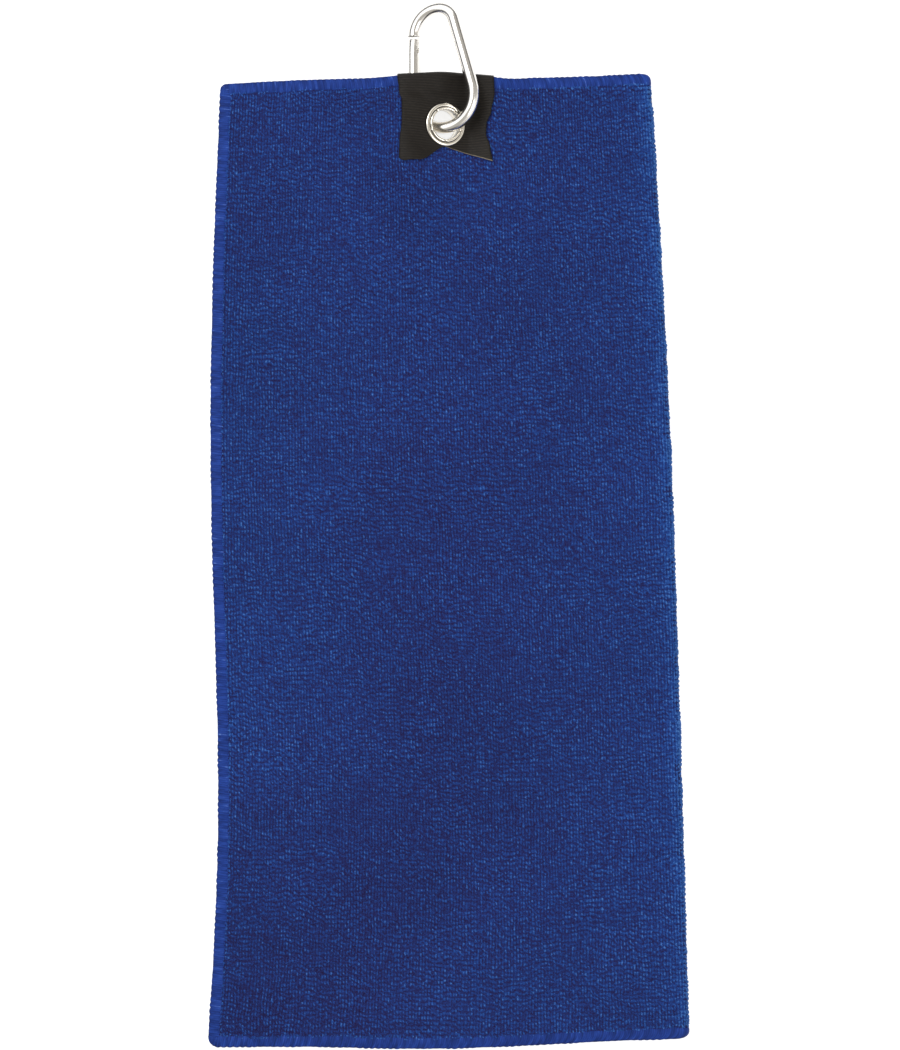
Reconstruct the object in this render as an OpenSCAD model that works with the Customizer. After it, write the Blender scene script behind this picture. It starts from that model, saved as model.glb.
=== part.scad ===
// Golf towel: one terry cloth folded in three, a ribbon tab over its top edge, an eyelet through both and a
// snap clip through the eyelet. It lies face up with its length along Y. Lengths are in millimetres.

/* [Towel] */
// Length of the cloth, from its top hem to its bottom hem
towel_h = 403.6; // [380:0.1:430]
// Width of the folded towel at its top edge
top_w = 179; // [170:1:190]
// How much wider the folded towel is at its bottom edge
flare = 21; // [10:1:24]
// Thickness of one layer of cloth
cloth_t = 2.1; // [1.8:0.1:2.2]
// Free space between two folded layers
layer_gap = 0.2; // [0.2:0.1:0.3]
// Width of the overlocked hem
hem_w = 4.5; // [3:0.5:6]
// Distance from the inner flap's free edge to the right fold
flap_setback = 14; // [10:1:40]

/* [Ribbon tab] */
// Width of the ribbon
ribbon_w = 39; // [34:1:42]
// Thickness of the ribbon
ribbon_t = 0.4; // [0.3:0.05:0.5]
// Length of the tails below the eyelet's centre
tail_len = 14.6; // [12:0.2:18]

/* [Eyelet] */
// Diameter of the eyelet's hole
hole_d = 12.4; // [12:0.1:13]
// Outer diameter of the eyelet's flange and washer
flange_d = 18; // [17:0.1:19]
// Distance between the flange and the washer
grip = 4.1; // [4:0.1:4.4]
// Angle that the eyelet leans to the right
eye_tilt = 26; // [24:1:28]

/* [Clip] */
// Diameter of the clip's bar
wire_d = 5; // [4.6:0.1:5]
// Radius of the wide bend, at the middle of the bar
bend_r = 13.5; // [13:0.1:14]
// Radius of the top bend on the gate side
top_r = 11.4; // [11:0.1:12]
// Height of the gate side's straight above the middle of the wide bend's bar
side_h = 38.6; // [38.6:0.1:39.4]
// Angle between the spine and the gate side
spine_lean = 17; // [16:1:18]
// Angle that the clip leans, with its gate side down
clip_tilt = 23; // [22:1:24]

/* [Hidden] */

// The model's parts are laid out around the eyelet's centre, and then moved to this place.
eye_x = -2;
eye_y = 166.4;
fine = 64;
small = 24;

// Cloth: the stack's layers from the floor up are the middle panel, the inner flap and the front panel.
pitch = cloth_t + layer_gap;
cloth_half = cloth_t / 2;
stack = 3 * cloth_t + 2 * layer_gap;
middle_z = cloth_half;
flap_z = middle_z + pitch;
front_z = flap_z + pitch;
left_fold_r = pitch / 2;
right_fold_r = pitch;
left_fold_inset = 1.2;
// The stitches press the cloth inside a hem, and their thread is a thin skin over it.
hem_half = cloth_half - 0.05;
hem_core = 0.62;
hem_play = 0.05;
edge_core = 0.5;
top_y = 19.4;
// The grid is fine around the eyelet, out to near_half each way and down to the first drop below the top edge.
near_half = 24;
near_step = 2.4;
near_drops = [42, 36, 32, 28.8, 25.6, 22.4, 19.4, 16.4, 13.2, 10, 7.4];
far_rows = 8;

// Eyelet
eye_z = wire_d / 2 + bend_r * sin(clip_tilt);
wall = 0.45;
skin = 0.1;
loose = 0.3;
eyelet_play = 0.03;
squeezed = (grip - 2 * eyelet_play) / cos(eye_tilt) - 2 * (ribbon_t / cos(eye_tilt) + skin);
squeeze_least = squeezed / stack;
lift_mid = eye_z - squeezed / 2;
slope = tan(eye_tilt);

// Clip, in its own plane: x across, y up from the middle of the wide bend's bar, z to the front.
wire_r = wire_d / 2;
clip_drop = 1.1;
top_centre = [top_r - bend_r, side_h];
crown_r = (bend_r * (1 + sin(spine_lean)) - top_centre[0] * cos(spine_lean)
    - (side_h + top_r) * sin(spine_lean)) / (1 - sin(spine_lean));
crown_centre = [top_centre[0], side_h + top_r - crown_r];
pivot_y = 34.7;
gate_low = 14.3;
gate_high = 37.5;
blade_t = 1.8;
slot_t = 2.2;
blade_half = 2.2;
blade_root = 0.1;
rivet_r = 1;
rivet_play = 0.05;
latch_r = 0.7;
latch_y = bend_r + 2.3;
nose_y = bend_r + 4.4;
low_slot_y = nose_y + 1.4;
high_slot_y = pivot_y - 3.1;
spring_bore_r = 1;
spring_low = 21;
spring_high = 28.3;
spring_wire = 0.3;
spring_turns = 8;
bar_sides = 20;
spring_r = 0.7;
plunger_r = 0.9;

function clamp01(t) = min(1, max(0, t));
function smooth(t) = let (c = clamp01(t)) c * c * (3 - 2 * c);
function mix(a, b, t) = a + (b - a) * t;
function hermite(x, x0, x1, h0, m0, h1, m1) = let (d = x1 - x0, t = (x - x0) / d)
    (2 * t ^ 3 - 3 * t ^ 2 + 1) * h0 + (t ^ 3 - 2 * t ^ 2 + t) * d * m0
    + (3 * t ^ 2 - 2 * t ^ 3) * h1 + (t ^ 3 - t ^ 2) * d * m1;

// Outline of the folded towel: v is 0 at the bottom edge and 1 at the top edge.
function left_x(v) = let (t = 1 - v)
    -0.519 * top_w - 0.26 * flare * t - 2.7 * sin(360 * t) + 0.55 * sin(540 * t);
function right_x(v) = let (t = 1 - v) 0.481 * top_w + 0.76 * flare * t + 2.1 * sin(180 * t) + 0.4 * sin(360 * t);
function top_edge(x) = top_y + 0.0215 * x - sin(2 * x);
function bottom_edge(x) = top_y - towel_h + 4.1 * smooth((x + 10) / 115);

// Height of the stack's underside: it rides over the gate side of the clip and dips under the spine.
flat_half = 9.6;
hump_left = -38;
hump_right = 17;
function eye_hump(x) =
    x < hump_left || x > hump_right ? 0
    : x < -flat_half
        ? hermite(x, hump_left, -flat_half, 0, 0, lift_mid + slope * flat_half, -slope)
    : x > flat_half
        ? hermite(x, flat_half, hump_right, lift_mid - slope * flat_half, -slope, 0, 0)
    : lift_mid - slope * x;
function edge_hump(x) = 9.3 * smooth((x - hump_left) / 24) * (1 - smooth((x + 4) / 16));
function tab_gap(x, y) = skin + loose * smooth((norm([x, y]) - 13) / 4);
function tab_lift(x, y) = (ribbon_t + 2 * skin + loose) * (1 - smooth((abs(x - 0.8) - ribbon_w / 2 - 1) / 8))
    * smooth((y + tail_len + 9) / 8);
function lift(x, y) = max(
    mix(eye_hump(x), edge_hump(x), smooth((y - flat_half) / 5.5)) * smooth((y + 55) / 45),
    tab_lift(x, y)
);
function squeeze(x, y) = mix(squeeze_least, 1, smooth((norm([x, y]) - 10) / 14));
function drape(p) = [p[0], p[1], lift(p[0], p[1]) + squeeze(p[0], p[1]) * p[2]];

// Stations along the fold. On a panel: [kind, end, share, anchor, offset, half thickness], which lies that share
// of the way from that end of the panel to the anchor. On a fold: [kind, angle] and the half thickness last.
// Kinds are 0 inner flap, 1 left fold, 2 middle panel, 3 right fold and 4 front panel.
hem_core_w = hem_w - edge_core;
function panel(kind, way) = concat(
    [for (f = [1 / 3, 2 / 3]) [kind, 0, f, -way * near_half, 0, cloth_half]],
    [for (x = [-near_half:near_step:near_half]) [kind, 0, 1, way * x, 0, cloth_half]],
    [for (f = [2 / 3, 1 / 3]) [kind, 1, f, way * near_half, 0, cloth_half]]
);
function fold(kind, angles) = [for (a = angles) [kind, a, 0, 0, 0, cloth_half]];
function panel_end(kind, end) = [[kind, end, 0, 0, 0, cloth_half]];
function free_edge(kind, end, way) = [
    for (p = [[0, hem_core], [hem_core_w, hem_core], [hem_core_w + 0.1, cloth_half]]) [kind, end, 0, 0, way * p[0], p[1]]
];
front_free = free_edge(4, 1, 1);
stations = concat(
    free_edge(0, 0, -1), panel(0, -1), panel_end(0, 1),
    fold(1, [120:30:240]),
    panel_end(2, 0), panel(2, 1), panel_end(2, 1),
    fold(3, [-60:30:60]),
    panel_end(4, 0), panel(4, -1), [front_free[2], front_free[1], front_free[0]]
);
function panel_ends(kind, v) =
    kind == 0 ? [right_x(v) - flap_setback - edge_core, left_x(v) + left_fold_inset + left_fold_r + cloth_half]
    : kind == 2
        ? [left_x(v) + left_fold_inset + left_fold_r + cloth_half, right_x(v) - right_fold_r - cloth_half]
    : [right_x(v) - right_fold_r - cloth_half, left_x(v) + edge_core];
function panel_z(kind) = kind == 0 ? flap_z : kind == 2 ? middle_z : front_z;
// Each station's middle and normal, both as [x, z].
function middle(s, v) =
    s[0] == 1
        ? [panel_ends(2, v)[0] + left_fold_r * cos(s[1]), middle_z + left_fold_r * (1 + sin(s[1]))]
    : s[0] == 3
        ? [panel_ends(2, v)[1] + right_fold_r * cos(s[1]), middle_z + right_fold_r * (1 + sin(s[1]))]
    : [mix(panel_ends(s[0], v)[s[1]], s[3], s[2]) + s[4], panel_z(s[0])];
function normal(s) = s[0] == 1 || s[0] == 3 ? [-cos(s[1]), -sin(s[1])] : s[0] == 2 ? [0, 1] : [0, -1];
function height(x, v) = mix(bottom_edge(x), top_edge(x), v);
function cloth_point(s, v, n) = let (m = middle(s, v), d = normal(s), x = m[0] + d[0] * n)
    drape([x, height(x, v), m[1] + d[1] * n]);

// Rows up the towel: [height from 0 to 1, half thickness].
core_v = edge_core / towel_h;
hem_v = hem_w / towel_h;
step_v = 0.1 / towel_h;
near_v = [for (d = near_drops) 1 - d / towel_h];
rows = concat(
    [[core_v, hem_core], [hem_v, hem_core], [hem_v + step_v, cloth_half]],
    [for (k = [far_rows:-1:1]) [1 - (near_drops[0] + 345 * (k / far_rows) ^ 1.5) / towel_h, cloth_half]],
    [for (v = near_v) [v, cloth_half]],
    [[1 - hem_v - step_v, cloth_half], [1 - hem_v, hem_core], [1 - core_v, hem_core]]
);

// A closed sheet between two grids of points. Stepping along i and then j turns outward on the outer grid.
module slab(outer, inner) {
    ni = len(outer);
    nj = len(outer[0]);
    function at(side, i, j) = side * ni * nj + i * nj + j;
    function quad(a, b, c, d) = [[a, b, c], [a, c, d]];
    pairs = concat(
        [for (i = [0:ni - 2], j = [0:nj - 2]) quad(at(0, i, j), at(0, i, j + 1), at(0, i + 1, j + 1), at(0, i + 1, j))],
        [for (i = [0:ni - 2], j = [0:nj - 2]) quad(at(1, i, j), at(1, i + 1, j), at(1, i + 1, j + 1), at(1, i, j + 1))],
        [for (j = [0:nj - 2]) quad(at(0, 0, j + 1), at(0, 0, j), at(1, 0, j), at(1, 0, j + 1))],
        [for (j = [0:nj - 2]) quad(at(0, ni - 1, j), at(0, ni - 1, j + 1), at(1, ni - 1, j + 1), at(1, ni - 1, j))],
        [for (i = [0:ni - 2]) quad(at(0, i, 0), at(0, i + 1, 0), at(1, i + 1, 0), at(1, i, 0))],
        [for (i = [0:ni - 2]) quad(at(0, i + 1, nj - 1), at(0, i, nj - 1), at(1, i, nj - 1), at(1, i + 1, nj - 1))]
    );
    polyhedron(
        points = concat([for (r = outer, p = r) p], [for (r = inner, p = r) p]),
        faces = [for (q = pairs, f = q) f]
    );
}

module in_place() {
    translate([eye_x, eye_y, 0]) children();
}

module eyelet_frame() {
    translate([eye_x, eye_y, eye_z]) rotate([0, eye_tilt, 0]) children();
}

module clip_frame() {
    translate([eye_x, eye_y - clip_drop, eye_z]) rotate([0, -clip_tilt, 0]) children();
}

// Room for the eyelet's barrel through the cloth and the ribbon.
module eyelet_room() {
    eyelet_frame() cylinder(h = 40, r = hole_d / 2 + wall + skin, center = true, $fn = fine);
}

module towel_cloth() {
    color("royalblue") difference() {
        in_place() slab(
            [for (s = stations) [for (r = rows) cloth_point(s, r[0], min(s[5], r[1]))]],
            [for (s = stations) [for (r = rows) cloth_point(s, r[0], -min(s[5], r[1]))]]
        );
        eyelet_room();
    }
}

// The thread of a top or bottom hem: v_in is where it starts, v_core where the cloth ends, v_out its edge.
module end_hem(v_in, v_core, v_out, side) {
    core = hem_core + hem_play;
    in_place() slab(
        [for (s = stations) [
            for (p = [[v_in, side], [v_out, side], [v_out, -side], [v_in, -side]]) cloth_point(s, p[0], p[1] * hem_half)
        ]],
        [for (s = stations) [
            for (p = [[v_in, side], [v_core, side], [v_core, -side], [v_in, -side]]) cloth_point(s, p[0], p[1] * core)
        ]]
    );
}

module top_hem() {
    color("mediumblue") end_hem(1 - hem_v + step_v / 2, 1 - core_v + step_v / 2, 1, 1);
}

module bottom_hem() {
    color("mediumblue") end_hem(hem_v - step_v / 2, core_v - step_v / 2, 0, -1);
}

// The thread of a free side edge, between the two end hems.
module side_hem(kind, end, inward, side) {
    core = hem_core + hem_play;
    hem_rows = [for (r = rows) if (r[0] > hem_v && r[0] < 1 - hem_v) r[0]];
    start = inward * (hem_core_w - hem_play);
    in_place() slab(
        [for (v = hem_rows) [
            for (p = [[start, side], [-inward * edge_core, side], [-inward * edge_core, -side], [start, -side]])
                cloth_point([kind, end, 0, 0, p[0]], v, p[1] * hem_half)
        ]],
        [for (v = hem_rows) [
            for (p = [[start, side], [-inward * hem_play, side], [-inward * hem_play, -side], [start, -side]])
                cloth_point([kind, end, 0, 0, p[0]], v, p[1] * core)
        ]]
    );
}

module front_edge_hem() {
    color("mediumblue") side_hem(4, 1, 1, -1);
}

module inner_flap_hem() {
    color("mediumblue") side_hem(0, 0, -1, 1);
}

// Ribbon tab: out from the front tail, up, over the top edge and down the back.
tab_left = 0.8 - ribbon_w / 2;
tab_right = 0.8 + ribbon_w / 2;
tab_xs = concat(
    [tab_left],
    [for (x = [-near_half:near_step:near_half]) if (x > tab_left + 1 && x < tab_right - 1) x],
    [tab_right]
);
tail_rise = 5.7;
function tail_end(x) = x < 1
    ? -tail_len + tail_rise * smooth((x + 10) / 11)
    : -tail_len + tail_rise - 6.2 * (x - 1) / 19.5;
function tab_z(x, y, side, out) = drape([x, y, side > 0 ? stack : 0])[2]
    + side * (tab_gap(x, y) + out * ribbon_t / cos(eye_tilt));
// Heights of the rows, from the tail's end to just past the top edge.
function tab_ys(x, low) = concat([for (v = near_v) max(height(x, v), low)], [top_edge(x) - 4, top_edge(x) + 0.4]);
function tab_surface(x, out) = let (
    front = tab_ys(x, tail_end(x)),
    back = tab_ys(x, -tail_len),
    last = len(back) - 1,
    low = tab_z(x, back[last], -1, out),
    high = tab_z(x, back[last], 1, out)
) concat(
    [for (y = front) [x, y, tab_z(x, y, 1, out)]],
    [for (a = [60:-30:-60]) [x, back[last] + (0.8 + out * ribbon_t) * cos(a), mix(low, high, (1 + sin(a)) / 2)]],
    [for (k = [last:-1:0]) [x, back[k], tab_z(x, back[k], -1, out)]]
);

module ribbon_tab() {
    color("#2b2825") difference() {
        in_place() slab(
            [for (x = tab_xs) tab_surface(x, 1)],
            [for (x = tab_xs) tab_surface(x, 0)]
        );
        eyelet_room();
    }
}

flange_r = flange_d / 2;
hole_r = hole_d / 2;
curl_r = 0.62;
curl_rise = 0.68;

// The flange lies behind the tab, and the barrel's end is rolled over the washer in front.
module eyelet_barrel() {
    low = -grip / 2;
    high = grip / 2 + curl_rise;
    color("gainsboro") eyelet_frame() {
        rotate_extrude($fn = fine) polygon([
            [hole_r, low - 0.1], [hole_r + 0.4, low - 0.5], [flange_r - 0.5, low - 0.5], [flange_r, low - 0.25],
            [flange_r, low], [hole_r + wall, low], [hole_r + wall, high], [hole_r, high]
        ]);
        rotate_extrude($fn = fine) translate([hole_r + curl_r, high]) circle(r = curl_r, $fn = small);
    }
}

module eyelet_washer() {
    low = grip / 2;
    inner = hole_r + curl_r + 0.35;
    color("lightgray") eyelet_frame() rotate_extrude($fn = fine) difference() {
        polygon([
            [inner, low], [flange_r, low], [flange_r, low + 0.2], [flange_r - 0.5, low + 0.55],
            [inner, low + 0.75]
        ]);
        translate([hole_r + curl_r, low + curl_rise]) circle(r = curl_r + 0.03, $fn = small);
    }
}

// Middle of the clip's bar, from the nose round to the tongue: [x, y, angle of the outward side].
function arc_line(centre, r, from, to, steps) = [
    for (k = [0:steps]) let (a = mix(from, to, k / steps)) [centre[0] + r * cos(a), centre[1] + r * sin(a), a]
];
top_arc = arc_line(top_centre, top_r, 450, 540, 10);
bar_line = concat(
    arc_line([0, bend_r], bend_r, 180, 360 + spine_lean, 22),
    arc_line(crown_centre, crown_r, 360 + spine_lean, 450, 8),
    [for (k = [1:len(top_arc) - 1]) top_arc[k]]
);
function bar_ring(p) = [
    for (k = [0:bar_sides - 1]) let (b = 360 * k / bar_sides)
        [p[0] + wire_r * cos(b) * cos(p[2]), p[1] + wire_r * cos(b) * sin(p[2]), -wire_r * sin(b)]
];

// A closed bar through rings of points, which turn anticlockwise seen from its far end.
module tube(rings) {
    n = len(rings[0]);
    last = (len(rings) - 1) * n;
    polyhedron(
        points = [for (r = rings, p = r) p],
        faces = concat(
            [for (i = [0:len(rings) - 2], k = [0:n - 1]) let (m = (k + 1) % n)
                each [[i * n + k, (i + 1) * n + k, (i + 1) * n + m], [i * n + k, (i + 1) * n + m, i * n + m]]],
            [[for (k = [0:n - 1]) k], [for (k = [n - 1:-1:0]) last + k]]
        )
    );
}

module up_bar(x, y0, y1) {
    translate([x, y0, 0]) rotate([-90, 0, 0]) cylinder(h = y1 - y0, d = wire_d, $fn = small);
}

module cross_pin(y, r, h) {
    translate([-bend_r, y, 0]) cylinder(h = h, r = r, center = true, $fn = small);
}

module clip_body() {
    color("silver") clip_frame() difference() {
        union() {
            tube([for (p = bar_line) bar_ring(p)]);
            // Tongue of the hinge
            translate([-bend_r - blade_half, pivot_y, -blade_t / 2])
                cube([2 * blade_half, side_h - pivot_y + blade_root, blade_t]);
            cross_pin(pivot_y, blade_half, blade_t);
            // Nose of the latch
            translate([-bend_r - blade_half, bend_r - blade_root, -blade_t / 2])
                cube([2 * blade_half, nose_y - bend_r + blade_root, blade_t]);
        }
        cross_pin(pivot_y, rivet_r + rivet_play, 2 * blade_t);
        cross_pin(latch_y, latch_r + 0.3, 2 * blade_t);
        translate([-bend_r, latch_y - latch_r - 0.3, -blade_t])
            cube([2 * blade_half, 2 * (latch_r + 0.3), 2 * blade_t]);
    }
}

module clip_gate() {
    color("silver") clip_frame() difference() {
        up_bar(-bend_r, gate_low, gate_high);
        translate([-bend_r - wire_d, high_slot_y, -slot_t / 2]) cube([2 * wire_d, gate_high, slot_t]);
        translate([-bend_r - wire_d, 0, -slot_t / 2]) cube([2 * wire_d, low_slot_y, slot_t]);
        cross_pin(pivot_y, rivet_r, 2 * wire_d);
        cross_pin(latch_y, latch_r, 2 * wire_d);
        translate([-bend_r, spring_low, 0]) rotate([-90, 0, 0])
            cylinder(h = high_slot_y - spring_low + 1, r = spring_bore_r, $fn = small);
    }
}

// A cross pin ends where its rim meets the round bar.
function flush_length(r) = 2 * sqrt(wire_r ^ 2 - r ^ 2);

module gate_rivet() {
    color("gray") clip_frame() cross_pin(pivot_y, rivet_r, flush_length(rivet_r));
}

module latch_pin() {
    color("gray") clip_frame() cross_pin(latch_y, latch_r, flush_length(latch_r));
}

// The coil stands between the bore's end and the plunger, which presses on the tongue.
module gate_spring() {
    sides = 6;
    steps = 12 * spring_turns;
    rise = spring_high - spring_low - 2 * spring_wire;
    function rail(k, s) = let (a = 360 * spring_turns * k / steps, b = 360 * s / sides,
        r = spring_r + spring_wire / 2 * cos(b))
        [r * cos(a), spring_low + spring_wire + rise * k / steps - spring_wire / 2 * sin(b), -r * sin(a)];
    color("dimgray") clip_frame() translate([-bend_r, 0, 0])
        tube([for (k = [0:steps]) [for (s = [0:sides - 1]) rail(k, s)]]);
}

module spring_plunger() {
    color("gray") clip_frame() translate([-bend_r, spring_high, 0]) rotate([-90, 0, 0]) {
        cylinder(h = pivot_y - blade_half - spring_high - plunger_r - 0.1, r = plunger_r, $fn = small);
        translate([0, 0, pivot_y - blade_half - spring_high - plunger_r - 0.1]) sphere(r = plunger_r, $fn = small);
    }
}

towel_cloth();
top_hem();
bottom_hem();
front_edge_hem();
inner_flap_hem();
ribbon_tab();
eyelet_barrel();
eyelet_washer();
clip_body();
clip_gate();
gate_rivet();
latch_pin();
gate_spring();
spring_plunger();
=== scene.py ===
"""Looks for the golf towel: terry cloth, overlocked hems, ribbon tab, eyelet and snap clip.

Lengths are in millimetres round the eyelet's centre. metres() turns them into the part's own frame.
"""

import math

import bpy
import numpy as np
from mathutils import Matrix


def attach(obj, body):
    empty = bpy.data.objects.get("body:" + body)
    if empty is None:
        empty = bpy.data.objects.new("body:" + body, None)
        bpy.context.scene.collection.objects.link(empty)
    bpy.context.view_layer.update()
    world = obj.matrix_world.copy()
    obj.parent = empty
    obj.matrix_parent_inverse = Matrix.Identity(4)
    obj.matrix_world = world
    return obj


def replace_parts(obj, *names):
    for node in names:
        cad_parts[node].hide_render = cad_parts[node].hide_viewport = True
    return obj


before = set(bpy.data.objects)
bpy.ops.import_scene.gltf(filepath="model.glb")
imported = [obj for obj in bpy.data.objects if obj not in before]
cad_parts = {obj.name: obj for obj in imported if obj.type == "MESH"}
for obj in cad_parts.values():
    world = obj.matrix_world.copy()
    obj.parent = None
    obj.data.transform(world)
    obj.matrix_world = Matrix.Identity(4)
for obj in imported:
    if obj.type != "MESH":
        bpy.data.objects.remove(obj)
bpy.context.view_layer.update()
scene = bpy.context.scene

# ---------------- camera
# The camera looks straight down from 1.2 m above the towel's middle.
cam_data = bpy.data.cameras.new("camera")
cam_data.lens = 100
cam_data.sensor_width = 36
cam_data.clip_end = 20
camera = bpy.data.objects.new("camera", cam_data)
camera.location = (0.00075, -0.00014, 1.2223)
scene.collection.objects.link(camera)
scene.camera = camera
scene.view_settings.view_transform = "Standard"

# ---------------- sizes from the part's own design
EYE_X, EYE_Y = -2.0, 166.4
TOWEL_H, TOP_W, FLARE, TOP_Y = 403.6, 179.0, 21.0, 19.4
CLOTH_HALF, STACK = 1.05, 6.7
MIDDLE_Z, FLAP_Z, FRONT_Z = 1.05, 3.35, 5.65
LEFT_R, RIGHT_R, LEFT_INSET, SETBACK = 1.15, 2.3, 1.2, 14.0
RIBBON_W, RIBBON_T, TAIL = 39.0, 0.4, 14.6
HOLE_R, BARREL_WALL, GRIP, EYELET_PLAY = 6.2, 0.45, 4.1, 0.03
WIRE_R, BEND_R, TOP_R, SIDE_H, LEAN = 2.5, 13.5, 11.4, 38.6, 17.0
CLIP_DROP, PIVOT_Y, GATE_LOW, GATE_HIGH = 1.1, 34.7, 14.3, 37.5
RIVET_R, LATCH_R = 1.0, 0.7
LATCH_Y, NOSE_Y = BEND_R + 2.3, BEND_R + 4.4
CLIP_TILT, EYE_TILT = 23.0, 26.0
COS_E, TAN_E = math.cos(math.radians(EYE_TILT)), math.tan(math.radians(EYE_TILT))
EYE_Z = WIRE_R + BEND_R * math.sin(math.radians(CLIP_TILT))
SKIN, LOOSE = 0.1, 0.3
SQUEEZED = (GRIP - 2 * EYELET_PLAY) / COS_E - 2 * (RIBBON_T / COS_E + SKIN)
LIFT_MID = EYE_Z - SQUEEZED / 2
FLAT_HALF, HUMP_LEFT, HUMP_RIGHT = 9.6, -38.0, 17.0


def smooth(t):
    """0 to 1 with level ends."""
    c = np.clip(t, 0, 1)
    return c * c * (3 - 2 * c)


def mix(a, b, t):
    return a + (b - a) * t


def bell(x, middle, width):
    """1 at the middle, falling to about a third one width away."""
    return np.exp(-(((x - middle) / width) ** 2))


def hermite(x, x0, x1, h0, m0, h1, m1):
    """The cubic from height h0 and slope m0 at x0 to height h1 and slope m1 at x1."""
    d = x1 - x0
    t = (x - x0) / d
    return (
        (2 * t**3 - 3 * t**2 + 1) * h0
        + (t**3 - 2 * t**2 + t) * d * m0
        + (3 * t**2 - 2 * t**3) * h1
        + (t**3 - t**2) * d * m1
    )


def wave(degrees):
    return np.sin(np.radians(degrees))


# The outline's v runs from 0 at the bottom edge to 1 at the top edge.
def left_x(v):
    """The front panel's free edge."""
    t = 1 - v
    return -0.519 * TOP_W - 0.26 * FLARE * t - 2.7 * wave(360 * t) + 0.55 * wave(540 * t)


def fold_corner(v, high, deep):
    """How far the fold draws in at an end of the towel, over the last stretch deep."""
    near = 1 - np.clip(TOWEL_H * v / deep, 0, 1)
    return high * (1 - np.sqrt(1 - near**2))


def right_x(v):
    """The outside of the right fold."""
    t = 1 - v
    side = 0.5 + 0.4 * t + 0.481 * TOP_W + 0.76 * FLARE * t + 2.1 * wave(180 * t) + 0.4 * wave(360 * t)
    return side - fold_corner(t, 1.9, 3.4) - fold_corner(v, 3.4, 3.4)


def top_edge(x):
    return TOP_Y + 0.0215 * x - wave(2 * x) + 1.5 * np.exp(-((x / 26) ** 4)) + 0.7 * smooth((x - 25) / 15)


def bottom_edge(x):
    return TOP_Y - TOWEL_H + 4.1 * smooth((x + 10) / 115) - 0.8 * smooth((x + 60) / 50)


def eye_hump(x):
    """Height of the stack over the clip, across the eyelet: straight where the eyelet clamps it."""
    low = hermite(x, HUMP_LEFT, -FLAT_HALF, 0, 0, LIFT_MID + TAN_E * FLAT_HALF, -TAN_E)
    high = hermite(x, FLAT_HALF, HUMP_RIGHT, LIFT_MID - TAN_E * FLAT_HALF, -TAN_E, 0, 0)
    h = np.where(x < -FLAT_HALF, low, np.where(x > FLAT_HALF, high, LIFT_MID - TAN_E * x))
    return np.where((x < HUMP_LEFT) | (x > HUMP_RIGHT), 0, h)


def edge_hump(x):
    """Height of the stack over the clip, along the top edge."""
    return 9.3 * smooth((x - HUMP_LEFT) / 24) * (1 - smooth((x + 4) / 16))


def tab_gap(x, y):
    """Play between the ribbon and the cloth, less where the eyelet clamps them."""
    return SKIN + LOOSE * smooth((np.hypot(x, y) - 13) / 4)


def lift(x, y):
    """How far the stack's underside is off the floor, over the clip's bar and the ribbon's back."""
    hump = mix(eye_hump(x), edge_hump(x), smooth((y - FLAT_HALF) / 5.5)) * smooth((y + 55) / 45)
    side = 1 - smooth((np.abs(x - 0.8) - RIBBON_W / 2 - 1) / 8)
    tab = (RIBBON_T + 2 * SKIN + LOOSE) * side * smooth((y + TAIL + 9) / 8)
    return np.maximum(hump, tab)


def squeeze(x, y):
    """Share of its thickness that the stack keeps: less in the eyelet's grip and where the clip swings."""
    pressed = 0.085 * bell(x, 5, 5) * smooth((y - 14) / 4)
    return mix(SQUEEZED / STACK, 1, smooth((np.hypot(x, y) - 10) / 14)) - pressed


def field(x, y, cell, seed):
    """Smooth noise from -1 to 1 over the plane, with bumps about one cell wide. It repeats after 96 cells."""
    size = 96
    table = np.random.default_rng(seed).uniform(-1, 1, (size, size))
    gx = np.asarray(x, float) / cell + 480.37
    gy = np.asarray(y, float) / cell + 480.91
    ix = np.floor(gx).astype(int)
    iy = np.floor(gy).astype(int)
    fx = smooth(gx - ix)
    fy = smooth(gy - iy)
    a = table[ix % size, iy % size]
    b = table[(ix + 1) % size, iy % size]
    c = table[ix % size, (iy + 1) % size]
    d = table[(ix + 1) % size, (iy + 1) % size]
    return mix(mix(a, b, fx), mix(c, d, fx), fy)


# ---------------- meshes
def metres(points):
    """Points in millimetres round the eyelet's centre, as metres in the part's frame."""
    return (np.asarray(points, float).reshape(-1, 3) + (EYE_X, EYE_Y, 0)) * 0.001


def mesh(name, points, faces, material, body, attributes=None, shade=True):
    """A mesh object that rides on a body. faces holds one array per number of corners."""
    data = bpy.data.meshes.new(name)
    world = metres(points)
    sizes = [f.shape[1] for f in faces]
    counts = [f.shape[0] for f in faces]
    flat = np.concatenate([f.reshape(-1) for f in faces]).astype(np.int32)
    totals = np.concatenate([np.full(c, s) for c, s in zip(counts, sizes, strict=True)])
    data.vertices.add(len(world))
    data.vertices.foreach_set("co", world.astype(np.float32).reshape(-1))
    data.loops.add(len(flat))
    data.loops.foreach_set("vertex_index", flat)
    data.polygons.add(len(totals))
    starts = np.concatenate([[0], np.cumsum(totals)[:-1]]).astype(np.int32)
    data.polygons.foreach_set("loop_start", starts)
    data.update(calc_edges=True)
    data.validate()
    for key, values in (attributes or {}).items():
        values = np.asarray(values, np.float32)
        if values.ndim == 1:
            data.attributes.new(key, "FLOAT", "POINT").data.foreach_set("value", values)
        else:
            data.attributes.new(key, "FLOAT_VECTOR", "POINT").data.foreach_set("vector", values.reshape(-1))
    data.polygons.foreach_set("use_smooth", np.full(len(totals), shade))
    data.materials.append(material)
    obj = bpy.data.objects.new(name, data)
    scene.collection.objects.link(obj)
    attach(obj, body)
    return obj


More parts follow.
